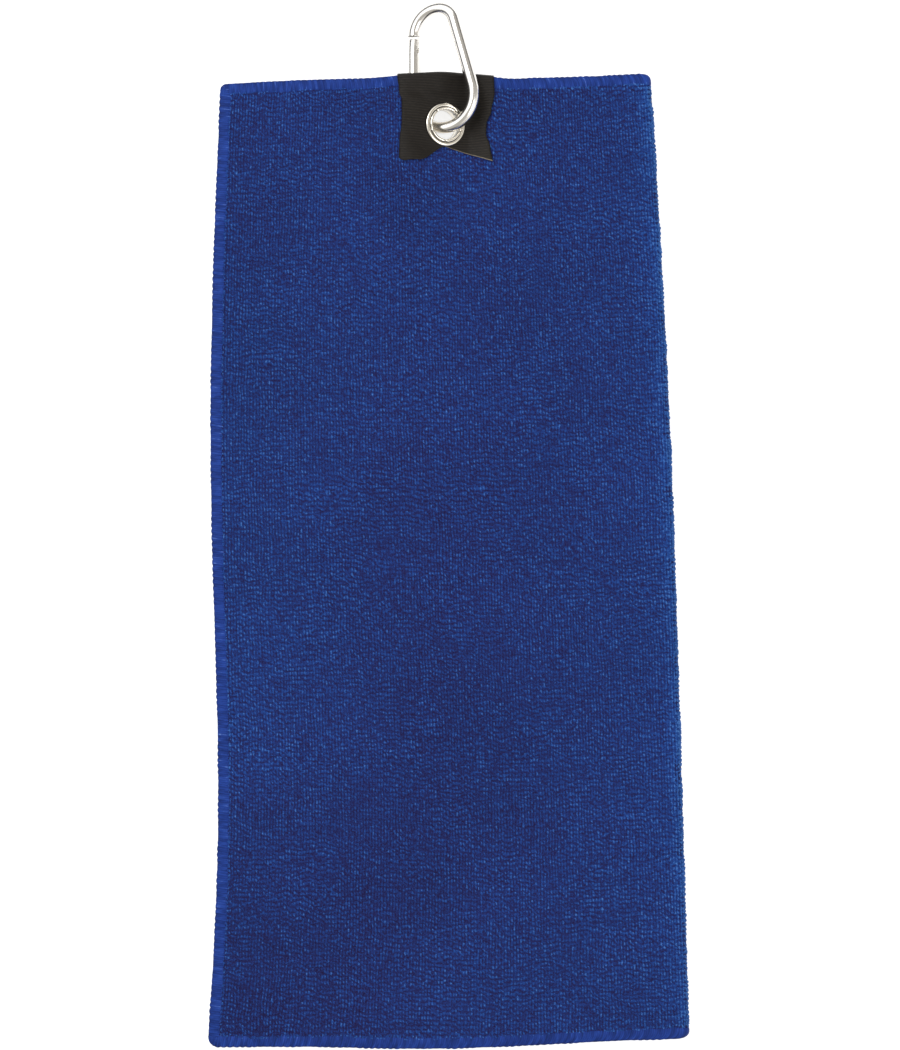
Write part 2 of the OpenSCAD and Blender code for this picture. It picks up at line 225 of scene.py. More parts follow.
def grid_quads(ni, nj, closed_i=False, closed_j=False):
    """Faces of an ni by nj grid of points, which may meet itself either way or both."""
    i, j = np.indices((ni - 1 + closed_i, nj - 1 + closed_j)).reshape(2, -1)
    i1, j1 = (i + 1) % ni, (j + 1) % nj
    return np.stack([i * nj + j, i1 * nj + j, i1 * nj + j1, i * nj + j1], 1)


def slab(outer, inner, keep):
    """Points and faces of a closed sheet between two grids of points, with walls round every hole in keep."""
    ni, nj = outer.shape[:2]
    n = ni * nj
    quads = grid_quads(ni, nj)[keep.reshape(-1)]
    faces = [quads, quads[:, ::-1] + n]
    padded = np.zeros((ni + 1, nj + 1), bool)
    padded[1:-1, 1:-1] = keep
    i, j = np.nonzero(keep)
    sides = (
        (padded[i, j + 1], i, j + 1, i, j),
        (padded[i + 2, j + 1], i + 1, j, i + 1, j + 1),
        (padded[i + 1, j], i, j, i + 1, j),
        (padded[i + 1, j + 2], i + 1, j + 1, i, j + 1),
    )
    for has, i0, j0, i1, j1 in sides:
        a = (i0 * nj + j0)[~has]
        b = (i1 * nj + j1)[~has]
        faces.append(np.stack([b, a, a + n, b + n], 1))
    points = np.concatenate([outer.reshape(-1, 3), inner.reshape(-1, 3)])
    return used_only(points, np.concatenate(faces))


def used_only(points, quads):
    """Drops the points that no face uses, and gives the numbers of those that stay."""
    used, where = np.unique(quads, return_inverse=True)
    return points[used], where.reshape(quads.shape), used


def ring_tube(rings):
    """Points and faces of a closed tube through rings of points: an array of rings, points and 3."""
    n, m = rings.shape[:2]
    quads = grid_quads(n, m, closed_j=True)[:, [0, 3, 2, 1]]
    first = np.arange(m)[::-1].reshape(1, -1)
    last = ((n - 1) * m + np.arange(m)).reshape(1, -1)
    return rings.reshape(-1, 3), [quads, first, last]


def revolve(profile, steps):
    """Points and faces of a closed profile of (radius, height) turned round the z axis."""
    r, z = np.array(profile, float).T
    angles = (np.arange(steps) * 2 * np.pi / steps)[:, None]
    points = np.stack(np.broadcast_arrays(np.cos(angles) * r, np.sin(angles) * r, z), 2)
    return points, grid_quads(steps, len(profile), True, True)


def turned(points, degrees, origin):
    """Points turned about the y axis and moved to a place."""
    a = math.radians(degrees)
    p = np.asarray(points, float)
    x = p[..., 0] * math.cos(a) + p[..., 2] * math.sin(a)
    z = -p[..., 0] * math.sin(a) + p[..., 2] * math.cos(a)
    return np.stack([x + origin[0], p[..., 1] + origin[1], z + origin[2]], -1)


def in_clip(points):
    return turned(points, -CLIP_TILT, (0, -CLIP_DROP, EYE_Z))


def in_eyelet(points):
    return turned(points, EYE_TILT, (0, 0, EYE_Z))


# ---------------- materials
class Nodes:
    """The node tree of a material or the world, with short calls that make and link nodes."""

    def __init__(self, owner, shader):
        owner.use_nodes = True
        self.owner = owner
        self.tree = owner.node_tree
        self.shader = self.tree.nodes[shader]

    def new(self, kind, inputs=(), **settings):
        node = self.tree.nodes.new(kind)
        for key, value in settings.items():
            setattr(node, key, value)
        for key, value in dict(inputs).items():
            self.put(node.inputs[key], value)
        return node

    def put(self, socket, value):
        if isinstance(value, bpy.types.NodeSocket):
            self.tree.links.new(value, socket)
        else:
            socket.default_value = value

    def attribute(self, name, output="Fac"):
        return self.new("ShaderNodeAttribute", attribute_name=name).outputs[output]

    def math(self, operation, a, b, clamp=False):
        return self.new("ShaderNodeMath", {0: a, 1: b}, operation=operation, use_clamp=clamp).outputs[0]

    def noise(self, vector, scale, detail, rough):
        inputs = {"Vector": vector, "Scale": scale, "Detail": detail, "Roughness": rough}
        return self.new("ShaderNodeTexNoise", inputs).outputs["Fac"]

    def scaled(self, vector, factors):
        return self.new("ShaderNodeVectorMath", {0: vector, 1: factors}, operation="MULTIPLY").outputs[0]

    def facing(self, vector, way):
        return self.new("ShaderNodeVectorMath", {0: vector, 1: way}, operation="DOT_PRODUCT").outputs["Value"]

    def ramp(self, fac, stops):
        node = self.new("ShaderNodeValToRGB", {"Fac": fac})
        elements = node.color_ramp.elements
        while len(elements) < len(stops):
            elements.new(0.5)
        for element, (position, colour) in zip(elements, stops, strict=True):
            element.position = position
            element.color = (*colour, 1)
        return node.outputs["Color"]

    def span(self, value, low, high, to_low, to_high, **settings):
        inputs = {0: value, 1: low, 2: high, 3: to_low, 4: to_high}
        return self.new("ShaderNodeMapRange", inputs, **settings).outputs[0]

    def blend(self, a, b, fac, kind="MIX"):
        inputs = {"Factor": fac, "A": a, "B": b}
        return self.new("ShaderNodeMix", inputs, data_type="RGBA", blend_type=kind).outputs["Result"]

    def multiply(self, colour, factor):
        return self.blend(colour, factor, 1, "MULTIPLY")

    def bump(self, height, distance, strength):
        node = self.new("ShaderNodeBump", {"Height": height, "Distance": distance, "Strength": strength})
        self.put(self.shader.inputs["Normal"], node.outputs["Normal"])

    def set(self, **values):
        for key, value in values.items():
            self.put(self.shader.inputs[key.replace("_", " ")], value)


def srgb(*values):
    """Linear colour from an sRGB one, 0 to 255."""
    c = np.array(values) / 255
    return tuple(float(x) for x in np.where(c <= 0.04045, c / 12.92, ((c + 0.055) / 1.055) ** 2.4))


def tones(*stops):
    """Ramp stops from rows of a position and an sRGB colour."""
    return [(position, srgb(*colour)) for position, *colour in stops]


def material_nodes(name):
    return Nodes(bpy.data.materials.new(name), "Principled BSDF")


def terry_material():
    """Loops are bright on top over indigo gaps: painted light on the tips and painted shade in the gaps. flat
    is the place on the cut cloth in mm, tone the loop's.
    """
    m = material_nodes("terry")
    flat = m.attribute("flat", "Vector")
    tone = m.attribute("tone")
    speck = m.noise(m.scaled(flat, (2.6, 1.7, 1)), 1.0, 2.0, 0.7)
    loop = m.math("ADD", tone, m.span(speck, 0.25, 0.75, -0.36, 0.36))
    dark = ((0, 24, 16, 46), (0.18, 31, 27, 68), (0.42, 29, 44, 101))
    light = ((0.65, 29, 62, 130), (0.85, 39, 80, 150), (1, 72, 116, 180))
    colour = m.ramp(loop, tones(*dark, *light))
    broad = m.noise(flat, 0.012, 3.0, 0.55)
    streak = m.noise(m.scaled(flat, (0.02, 0.35, 1)), 1.0, 2.0, 0.5)
    shade = m.span(broad, 0.3, 0.7, 0.9, 1.09)
    shade = m.math("MULTIPLY", shade, m.span(streak, 0.3, 0.7, 0.95, 1.05))
    colour = m.multiply(colour, shade)
    m.set(Base_Color=colour, Sheen_Weight=0.07, Sheen_Roughness=0.5, Specular_IOR_Level=0.1)
    m.shader.inputs["Sheen Tint"].default_value = (*srgb(90, 140, 230), 1)
    m.set(Roughness=m.span(speck, 0.2, 0.8, 0.95, 0.75))
    m.bump(m.noise(m.scaled(flat, (3.5, 2.2, 1)), 1.0, 2.0, 0.6), 0.0003, 0.8)
    return m.owner


def thread_material():
    """Overlock thread, satin along each stitch. flat runs along the hem and across it, in mm."""
    m = material_nodes("hem_thread")
    flat = m.attribute("flat", "Vector")
    tone = m.attribute("tone")
    fibre = m.noise(m.scaled(flat, (6.0, 0.7, 1)), 1.0, 2.0, 0.6)
    level = m.math("ADD", tone, m.span(fibre, 0.3, 0.7, -0.12, 0.12))
    dark = ((0, 12, 34, 76), (0.3, 24, 44, 106), (0.5, 29, 54, 126))
    light = ((0.75, 38, 68, 148), (1, 110, 140, 205))
    colour = m.ramp(level, tones(*dark, *light))
    patch = m.noise(flat, 0.05, 3.0, 0.55)
    colour = m.multiply(colour, m.span(patch, 0.3, 0.7, 0.91, 1.08))
    m.set(Base_Color=colour, Sheen_Weight=0.03, Sheen_Roughness=0.35, Specular_IOR_Level=0.07)
    m.set(Roughness=m.span(fibre, 0.2, 0.8, 0.62, 0.42))
    m.bump(fibre, 0.0001, 0.6)
    return m.owner


def ribbon_material():
    """Black grosgrain with fibres along its ribs, and brown where its ends are cut; the right tail's light
    line is partly a painted highlight.
    """
    m = material_nodes("ribbon")
    flat = m.attribute("flat", "Vector")
    tone = m.attribute("tone")
    fibre = m.noise(m.scaled(flat, (0.6, 5.0, 1)), 1.0, 2.0, 0.6)
    level = m.math("ADD", tone, m.span(fibre, 0.3, 0.7, -0.14, 0.14))
    stops = ((0, 14, 12, 10), (0.5, 30, 26, 22), (0.8, 48, 42, 36), (1, 120, 112, 98))
    colour = m.ramp(level, tones(*stops))
    patch = m.noise(flat, 0.07, 2.0, 0.5)
    colour = m.multiply(colour, m.span(patch, 0.3, 0.7, 0.82, 1.02))
    m.set(Base_Color=colour, Sheen_Weight=0.03, Sheen_Roughness=0.4, Specular_IOR_Level=0.2)
    m.set(Roughness=m.span(fibre, 0.2, 0.8, 0.7, 0.5))
    m.bump(fibre, 0.00008, 0.6)
    return m.owner


def metal_material(name, colour, rough, grain, smear):
    """Polished metal with hairline scratches. smear is how much rougher the worn patches are; a point
    attribute darkens the colour as painted shade in creases and at cut ends.
    """
    m = material_nodes(name)
    place = m.new("ShaderNodeTexCoord").outputs["Object"]
    cloud = m.noise(place, 160.0, 3.0, 0.6)
    hairs = m.noise(m.scaled(place, (2500, 260, 2500)), 1.0, 2.0, 0.6)
    tint = m.span(cloud, 0.3, 0.7, 0.95, 1.03)
    # Painted shade: the colour is darkened by the point attribute set in creases and at cut ends.
    shaded_tint = m.math("SUBTRACT", tint, m.attribute("crease_shade"), clamp=True)
    m.set(Base_Color=m.multiply((*colour, 1), shaded_tint), Metallic=1.0)
    worn = m.span(cloud, 0.35, 0.75, rough, rough + smear)
    m.set(Roughness=m.math("ADD", worn, m.span(hairs, 0, 1, 0, 0.05)))
    m.bump(m.math("ADD", hairs, cloud), grain, 0.12)
    return m.owner


terry = terry_material()
thread = thread_material()
ribbon = ribbon_material()
clip_metal = metal_material("clip_metal", srgb(236, 233, 228), 0.13, 0.00004, 0.06)
nickel = metal_material("nickel", srgb(240, 234, 222), 0.1, 0.00003, 0.05)
steel = metal_material("steel", srgb(205, 203, 200), 0.2, 0.00004, 0.1)


# ---------------- floor, lamps and surroundings
def floor_material():
    """A quiet pale surface with a little cloudiness."""
    m = material_nodes("floor")
    place = m.new("ShaderNodeTexCoord").outputs["Object"]
    cloud = m.noise(place, 4.0, 2.0, 0.5)
    m.set(Base_Color=m.multiply((0.55, 0.55, 0.55, 1), m.span(cloud, 0.2, 0.8, 0.99, 1.0)), Roughness=0.9)
    m.set(Emission_Color=(1, 1, 1, 1), Emission_Strength=0.72, Specular_IOR_Level=0.1)
    return m.owner


far = 20.0
floor_mesh = bpy.data.meshes.new("floor")
floor_mesh.from_pydata([(-far, -far, 0), (far, -far, 0), (far, far, 0), (-far, far, 0)], [], [(0, 1, 2, 3)])
floor_mesh.materials.append(floor_material())
floor = bpy.data.objects.new("floor", floor_mesh)
floor.location = (0, 0, -0.0002)
scene.collection.objects.link(floor)


def area_light(name, place, size, power):
    """A square lamp that points at the middle of the floor."""
    data = bpy.data.lights.new(name, "AREA")
    data.size = size
    data.energy = power
    light = bpy.data.objects.new(name, data)
    light.location = place
    x, y, z = place
    light.rotation_euler = (math.atan2(math.hypot(x, y), z), 0, math.atan2(x, -y))
    scene.collection.objects.link(light)


def studio():
    """A white screen overhead at the upper left of a warm grey room, over walls that are dark on the left."""
    white, grey, pale, dark = (1.35, 1.35, 1.35), (0.5, 0.482, 0.452), (1.05, 1.03, 1.0), (0.06, 0.06, 0.065)
    scene.world = bpy.data.worlds.new("studio")
    m = Nodes(scene.world, "Background")
    direction = m.new("ShaderNodeTexCoord").outputs["Generated"]
    upper_left = m.math("ADD", m.facing(direction, (-0.375, 0.33, 0)), 0.5)
    lower_right = m.facing(direction, (0.9, -0.44, 0))
    screens = [(0.1, pale), (0.25, grey), (0.585, grey), (0.625, white), (1.0, white)]
    walls = [(0.5, dark), (0.62, grey), (0.78, grey), (0.87, pale)]
    height = m.facing(direction, (0, 0, 1))
    overhead = m.span(height, 0.28, 0.52, 0, 1, interpolation_type="SMOOTHSTEP")
    m.set(Color=m.blend(m.ramp(lower_right, walls), m.ramp(upper_left, screens), overhead), Strength=1.0)


area_light("key", (-0.7, 0.75, 1.5), 0.9, 13)
area_light("fill", (0.9, -0.5, 1.4), 1.0, 8)
studio()


# ---------------- the folded cloth
# A place on the cloth is a kind of run, a share of that run, v, and n, its distance from the cloth's middle
# towards the outside of the folds. The runs follow each other from the inner flap's free edge:
FLAP, LEFT_FOLD, MIDDLE, RIGHT_FOLD, FRONT = range(5)
RUN_LENGTHS = (175.0, math.pi * LEFT_R, 189.0, math.pi * RIGHT_R, 192.0)
PANEL_W = 190.0
# The front panel's free corners, which the stitches pull in: v, which way is out along y, and radius.
FREE_CORNERS = ((1.0, 1, 2.4), (0.0, -1, 4.6))
# The cloth and the ribbon are cut away inside this radius, under the eyelet's flanges.
CUT_R = 7.8


def run_ends(kind, v):
    """x at the start and end of a flat run."""
    left = left_x(v) + LEFT_INSET + LEFT_R + CLOTH_HALF
    right = right_x(v) - RIGHT_R - CLOTH_HALF
    if kind == FLAP:
        return right_x(v) - SETBACK, left
    if kind == MIDDLE:
        return left, right
    return right, left_x(v)


def fold_place(kind, share, v, n):
    """x and z of a place on the cloth before it drapes."""
    if kind in (LEFT_FOLD, RIGHT_FOLD):
        ends = run_ends(MIDDLE, v)
        angle = 90 + 180 * share if kind == LEFT_FOLD else -90 + 180 * share
        x0, r = (ends[0], LEFT_R) if kind == LEFT_FOLD else (ends[1], RIGHT_R)
        c, s = np.cos(np.radians(angle)), np.sin(np.radians(angle))
        return x0 + (r + n) * c, MIDDLE_Z + r + (r + n) * s
    a, b = run_ends(kind, v)
    z, way = {FLAP: (FLAP_Z, 1), MIDDLE: (MIDDLE_Z, -1), FRONT: (FRONT_Z, 1)}[kind]
    return mix(a, b, share), z + way * n + 0 * v


def drape(x, y, z):
    """Lays a place of the flat stack over the clip. The top edge draws back a little where it climbs."""
    up = lift(x, y)
    return np.stack([x, y - 0.13 * up * smooth((y - 6) / 12), up + squeeze(x, y) * z], -1)


def cloth_points(kind, share, v, n):
    """Places on the cloth as points, where it lies."""
    x, z = fold_place(kind, share, v, n)
    y = mix(bottom_edge(x), top_edge(x), v)
    return drape(x, y, z)


def rounded(points):
    """Points of the front panel with its free corners rounded."""
    p = points.copy()
    x, y = p[..., 0].copy(), p[..., 1].copy()
    for v, up, radius in FREE_CORNERS:
        cx = float(left_x(np.array(v)))
        cy = float(top_edge(cx) if up > 0 else bottom_edge(np.array(cx)))
        a = radius - (x - cx)
        b = radius - up * (cy - y)
        inside = (a > 0) & (b > 0)
        big = np.maximum(a, b)
        scale = np.where(inside, np.maximum(big, 1e-6) / np.maximum(np.hypot(a, b), 1e-6), 1)
        p[..., 0] = np.where(inside, cx + radius - a * scale, p[..., 0])
        p[..., 1] = np.where(inside, cy - up * (radius - b * scale), p[..., 1])
    return p


def hole_distance(points):
    """Distance from the eyelet's axis, seen from above the leaning eyelet."""
    return np.hypot(points[..., 0] / COS_E, points[..., 1])


def sheet_stations(step):
    """Runs and shares along the whole fold, about step apart, and the length along the cloth at each."""
    rows = []
    start = 0.0
    for kind, length in enumerate(RUN_LENGTHS):
        count = max(4, round(length / step))
        for k in range(count):
            rows.append((kind, k / count, start + length * k / count))
        start += length
    rows.append((FRONT, 1.0, start))
    return rows


def near_cover(x, y):
    """1 where the ribbon lies on the cloth's face, falling to 0 just outside it."""
    side = 1 - smooth((np.abs(x - 1.2) - 18.6) / 1.2)
    return side * smooth((y - tail_end(x) + 0.6) / 1.2)


def tab_top(x):
    """Where the ribbon turns over the towel's top edge."""
    return top_edge(x) - 0.35 + 0.75 * bell(x, 1, 9)


def tail_end(x):
    """The ribbon's cut end in front: the left tail is rounded and the right one slants."""
    left = -TAIL - 0.8 + 6.2 * smooth((x + 10) / 11) + 1.1 * bell(x, -19.2, 1.3)
    left = left - 0.5 * bell(x, -16, 2)
    return np.where(x < 1, left, -TAIL + 5.4 - 5.9 * (x - 1) / 19.5)


def build_sheet():
    """The cut cloth, folded in three, under its loops. It takes the cloth node's place."""
    half, margin = 0.8, 0.9
    v = np.linspace(margin / TOWEL_H, 1 - margin / TOWEL_H, 156)
    inset = margin / PANEL_W
    sides = {half: [], -half: []}
    flat = []
    for kind, share, u in sheet_stations(2.4):
        s = min(max(share, inset if kind == FLAP else 0), 1 - inset if kind == FRONT else 1)
        for n, rows in sides.items():
            row = cloth_points(kind, s, v, n + 0 * v)
            rows.append(rounded(row) if kind == FRONT else row)
        flat.append(np.stack([np.full_like(v, u), v * TOWEL_H, 0 * v], -1))
    outer, inner, flat = np.array(sides[half]), np.array(sides[-half]), np.array(flat)
    middle = (outer[:-1, :-1] + outer[1:, 1:]) / 2
    points, quads, used = slab(outer, inner, hole_distance(middle) > CUT_R)
    both = np.concatenate([flat.reshape(-1, 3)] * 2)[used]
    tone = 0.3 + 0.12 * field(both[:, 0], both[:, 1], 2.0, 5)
    return mesh("towel_sheet", points, [quads], terry, "towel", {"flat": both, "tone": tone})


def loops(i, j, rng):
    """Height and tone of a grid of terry loops. A loop is two points tall, on even columns, over a gap.

    j is the row counted along each column, so a column may be a row or two out of step with the next.
    """
    across, up = i % 2, j % 3
    tip = (across == 0) & (up < 2)
    column_gap = (across == 1) & (up < 2)
    row_gap = (across == 0) & (up == 2)
    own = rng.uniform(-1, 1, (i.max() // 2 + 2, j.max() // 3 + 2))[i // 2, j // 3]
    each = rng.uniform(-1, 1, i.shape)
    height = np.where(tip, 0.75, np.where(column_gap, -0.5, np.where(row_gap, -0.6, -0.95)))
    height = height + np.where(tip, 0.3 * own + 0.3 * each, 0.35 * each)
    # The loop's tone is high on its tips and low in the gaps: painted light and painted shade over the yarn's
    # own blue.
    tone = np.where(tip, 0.75, np.where(column_gap, 0.22, np.where(row_gap, 0.25, 0.06)))
    tone = tone + np.where(tip, 0.2 * own + 0.27 * each, 0.24 * each)
    return height, tone, own


def tone_and_fold_sheen(kinds, shares, up):
    """Change of tone: dull down the middle and at the lower left of the face, and a painted sheen along the
    right fold.
    """
    dull = 0.05 * bell(shares, 0.52, 0.2) * smooth((290 - up) / 60) * smooth((up - 20) / 60)
    dull = dull + 0.075 * (1 - smooth(up / 140)) * smooth((shares - 0.35) / 0.4)
    light = 0.055 * bell(shares, 1, 0.25) * smooth((up - 90) / 60) * (1 - smooth((up - 300) / 40))
    light = light + 0.035 * bell(shares, 0, 0.2)
    panel = np.where(kinds == FRONT, light - dull, 0)
    reach, width = RIGHT_R + CLOTH_HALF, 186.0
    edge = np.where(kinds == FRONT, reach + width * shares, reach * (1 - np.sin(np.pi * shares)))
    # Painted sheen: the tone rises towards the right fold's edge.
    fold_sheen = 0.55 * np.exp(-edge / 2.6) + 0.05 * np.exp(-edge / 8)
    return panel + np.where(kinds >= RIGHT_FOLD, fold_sheen, 0)


def pile_columns(runs):
    """Kind of run, share of it and how far the loops are pressed, at each column of loops."""
    rows = []
    for kind, first, last, count, press_first, press_last in runs:
        for k in range(count):
            pressed = press_first + (press_last - press_first) * k / count
            rows.append((kind, first + (last - first) * k / count, pressed))
    rows.append((kind, last, press_last))
    return zip(*rows, strict=True)


def pile(names, runs, step_u, step_v, seed):
    """A skin of terry loops on the cloth's outward side, split across into one piece per name.

    runs are (kind, first share, last share, columns, pressed at first, pressed at last), and pressed is 1
    where the loops lie on the floor.
    """
    rise, sink, margin = 0.26, 0.34, 3.5
    v0, v1 = margin / TOWEL_H, 1 - margin / TOWEL_H
    rows = 3 * round((v1 - v0) * TOWEL_H / step_v / 3)
    kinds, shares, pressed = pile_columns(runs)
    columns = len(kinds)
    i, j = np.indices((columns, rows + 1))
    rng = np.random.default_rng(seed)
    along, up = i * step_u, v0 * TOWEL_H + j * step_v
    row = j + np.floor(1.5 * (1 + field(i // 2 * 9.0, up, 14, seed + 8))).astype(int)
    height, tone, own = loops(i, row, rng)
    wander = 0.9 * field(along, up, 24, seed + 1) + 0.4 * field(along, up, 5, seed + 2)
    depth = np.minimum(j, rows - j)
    wander = wander * np.clip(0.35 + depth / 9, 0, 1) + 0.22 * own
    v = v0 + (v1 - v0) * j / rows + (wander + 0.15 * step_v * rng.uniform(-1, 1, i.shape)) / TOWEL_H
    lean = rng.uniform(-1, 1, own.shape)
    side = 0.3 * field(along, up, 6, seed + 3) + step_u * (0.2 * lean + 0.14 * np.roll(own, 7, 1))
    border = (i == 0) | (i == columns - 1) | (j == 0) | (j == rows)
    relief = np.where(height > 0, rise * height, sink * height)
    run_kinds, run_shares = np.array(kinds)[:, None], np.array(shares)[:, None]
    at_fold = run_kinds == RIGHT_FOLD
    relief = relief * np.where(at_fold, 1.5, 1) + np.where(at_fold, 0.3 * field(along, up, 4.5, seed + 9), 0)
    depth = np.minimum(depth, columns - 1 - i + 2 * (run_kinds != FRONT))
    relief = relief - 0.45 * smooth((4 - depth) / 3) * (0.45 + own)
    points = np.zeros((*i.shape, 3))
    for c in range(columns):
        flat_run = kinds[c] in (FLAP, MIDDLE, FRONT)
        share = shares[c] + (side[c] / RUN_LENGTHS[FRONT] if flat_run else 0 * side[c])
        x, _ = fold_place(kinds[c], share, v[c], CLOTH_HALF + 0 * v[c])
        y = mix(bottom_edge(x), top_edge(x), v[c])
        hidden = near_cover(x, y)
        n = CLOTH_HALF + relief[c] * (1 - hidden) - 0.25 * hidden - pressed[c] * rise * 1.25
        n = np.where(border[c], CLOTH_HALF - 0.5, n)
        points[c] = cloth_points(kinds[c], share, v[c], n)
    points[..., 2] = np.maximum(points[..., 2], 0.02)
    middle = (points[:-1, :-1] + points[1:, 1:]) / 2
    keep = hole_distance(middle) > CUT_R
    flat = np.stack([along, up, 0 * up], -1)
    fade = 0.5 + 0.5 * field(along, up, 14, seed + 4)
    tone = mix(tone, 0.4 + 0.6 * (tone - 0.4), 0.6 * fade)
    columns_show = 0.5 + 0.5 * field(along, up, 19, seed + 6)
    tone = tone + np.where((i % 2 == 1) & (row % 3 < 2), 0.16 * (1 - columns_show), 0)
    tone = tone + np.where((i % 2 == 0) & (row % 3 == 2), 0.2 * columns_show, 0)
    # The change of tone brings in the painted sheen along the right fold.
    tone = tone + tone_and_fold_sheen(run_kinds, run_shares, up) + 0.25 * smooth((3 - depth) / 2)
    tone = np.clip(tone, 0, 1)
    made = []
    for k, name in enumerate(names):
        r0 = rows * k // len(names)
        r1 = rows * (k + 1) // len(names)
        part = points[:, r0 : r1 + 1].reshape(-1, 3)
        quads = grid_quads(columns, r1 - r0 + 1)[keep[:, r0:r1].reshape(-1)]
        part, quads, used = used_only(part, quads)
        spread = {
            "flat": flat[:, r0 : r1 + 1].reshape(-1, 3)[used],
            "tone": tone[:, r0 : r1 + 1].reshape(-1)[used],
        }
        made.append(mesh(name, part, [quads], terry, "towel", spread))
    return made


# Across half a hem, from its edge inwards: distance in from the cloth's edge, and height off its middle.
HEM_FACE = [
    (0.1, 0.4), (0.4, 0.72), (0.9, 0.93), (1.6, 1.03), (2.5, 1.06), (3.5, 1.03), (4.3, 0.95), (4.75, 0.72),
]
HEM_DEPTH = np.array([d for d, _ in HEM_FACE[::-1]] + [0.0] + [d for d, _ in HEM_FACE])
HEM_HEIGHT = np.array([n for _, n in HEM_FACE[::-1]] + [0.0] + [-n for _, n in HEM_FACE])
# Along a hem: the length of a stitch, the width of a strand, and the spacing of the rings of points.
STITCH, STRAND, RING_STEP = 2.65, 0.9, 0.25


def stitched(along, seed):
    """Distance in, height and tone round the hem at each place along it, with its threads and scallops."""
    d, n, s = HEM_DEPTH, HEM_HEIGHT, along[:, None]
    drift = 0.5 * field(s, 0 * s, 9, seed) + 0.28 * field(s, 0 * s, 2.2, seed + 1)
    ridge = np.cos(2 * np.pi * (s / STRAND + 0.16 * d * np.sign(n) + drift))
    turn = (s / STITCH + 0.07 * d * np.sign(n) + 0.25 * drift) % 1 - 0.5
    cord = bell(turn, 0, 0.13) * (0.75 + 0.5 * field(s, 0.4 * d, 4, seed + 6))
    scallop = np.abs(np.sin(np.pi * (s / STITCH + 0.4 * drift))) * (0.55 + 0.6 * field(s, 0 * s, 6, seed + 2))
    near_edge = np.clip(1 - d / 1.0, 0, 1)
    tuck = np.clip(1 - (d.max() - d) / 0.6, 0, 1)
    ragged = 0.25 * ridge + 0.35 * field(s, 0 * s, 1.3, seed + 3) + 0.3 * field(s, 0 * s, 12, seed + 5)
    reach = d - 0.36 * scallop * near_edge + tuck * ragged
    body = np.clip(np.abs(n) / 0.7, 0, 1) * (1 - tuck)
    high = n + np.sign(n) * (0.05 * ridge + 0.06 * cord - 0.03) * body
    streak = field(s, d * np.sign(n) * 0.2, 0.75, seed + 4)
    tone = 0.46 + 0.1 * ridge * (1 - near_edge) + 0.19 * cord - 0.16 * near_edge**2 + 0.22 * streak
    return reach, high, tone


def hem_piece(name, node, rings, along, tone):
    """The thread of one hem, closed at both ends. It takes the place of a CAD node."""
    points, faces = ring_tube(rings)
    flat = np.stack(np.broadcast_arrays(along[:, None], HEM_DEPTH, 0.0), -1).reshape(-1, 3)
    spread = {"flat": flat, "tone": tone.reshape(-1)}
    hem = mesh(name, points, faces, thread, "towel", spread)
    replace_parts(hem, node)
    return hem


def end_hem(name, node, at_top, seed):
    """Overlock thread along the whole folded top or bottom edge."""
    stations = sheet_stations(RING_STEP)
    along = np.array([u for _, _, u in stations])
    reach, high, tone = stitched(along, seed)
    v = 1 - reach / TOWEL_H if at_top else reach / TOWEL_H
    rings = np.zeros((*reach.shape, 3))
    for k, (kind, share, _) in enumerate(stations):
        rings[k] = cloth_points(kind, share, v[k], high[k])
        if kind == FRONT:
            rings[k] = rounded(rings[k])
    rings[..., 2] = np.maximum(rings[..., 2], 0.01)
    if at_top:
        return hem_piece(name, node, rings[:, ::-1], along, tone[:, ::-1])
    return hem_piece(name, node, rings, along, tone - 0.07)


def side_hem(name, node, kind, seed):
    """Overlock thread along a free side edge, between the end hems."""
    along = np.arange(2.2, TOWEL_H - 2.2, RING_STEP)
    v = along / TOWEL_H
    reach, high, tone = stitched(along, seed)
    rings = np.zeros((*reach.shape, 3))
    a, b = run_ends(kind, v)
    for k in range(reach.shape[1]):
        share = reach[:, k] / np.abs(b - a)
        share = 1 - share if kind == FRONT else share
        rings[:, k] = cloth_points(kind, share, v, high[:, k] * 0.97)
    if kind == FRONT:
        return hem_piece(name, node, rounded(rings), along, tone)
    return hem_piece(name, node, rings[:, ::-1], along, tone[:, ::-1])


def bead(sides, rings):
    """Points, quads and end faces of a small ball with flat poles."""
    points = []
    for a in range(rings + 1):
        lat = math.pi * (a + 0.5) / (rings + 1) - math.pi / 2
        for b in range(sides):
            turn = 2 * math.pi * b / sides
            points.append((math.cos(lat) * math.cos(turn), math.sin(lat), math.cos(lat) * math.sin(turn)))
    ends = [list(range(sides)), list(range(rings * sides, (rings + 1) * sides))[::-1]]
    return np.array(points), grid_quads(rings + 1, sides, closed_j=True), np.array(ends)


def needle_line(name, places):
    """Short stitches of the needle thread, one small bead at each place."""
    stitch, quads, ends = bead(6, 4)
    points = (places[:, None] + stitch * (0.2, 0.5, 0.16)).reshape(-1, 3)
    starts = (np.arange(len(places)) * len(stitch))[:, None, None]
    faces = [(shape + starts).reshape(-1, shape.shape[1]) for shape in (quads, ends)]
    spread = {"flat": points * (1, 1, 0), "tone": np.full(len(points), 0.7)}
    return mesh(name, points, faces, thread, "towel", spread)


def edge_places(distance, pitch, seed):
    """Places down the front panel's free edge for the needle thread."""
    rng = np.random.default_rng(seed)
    v = np.arange(6.0, TOWEL_H - 6.0, pitch) / TOWEL_H
    v = v + rng.uniform(-0.25, 0.25, v.size) / TOWEL_H
    a, b = run_ends(FRONT, v)
    share = 1 - (distance + rng.uniform(-0.12, 0.12, v.size)) / np.abs(b - a)
    return cloth_points(FRONT, share, v, CLOTH_HALF + 0.16 + 0 * v)


# ---------------- the ribbon tab
def knots(y, pairs):
    """x at y on a smooth line through (y, x) pairs, from the highest y down."""
    x = np.full_like(np.asarray(y, float), pairs[0][1])
    for (y0, x0), (y1, x1) in zip(pairs[:-1], pairs[1:], strict=True):
        x = np.where(y < y0, mix(x0, x1, smooth((y0 - y) / (y0 - y1))), x)
    return x


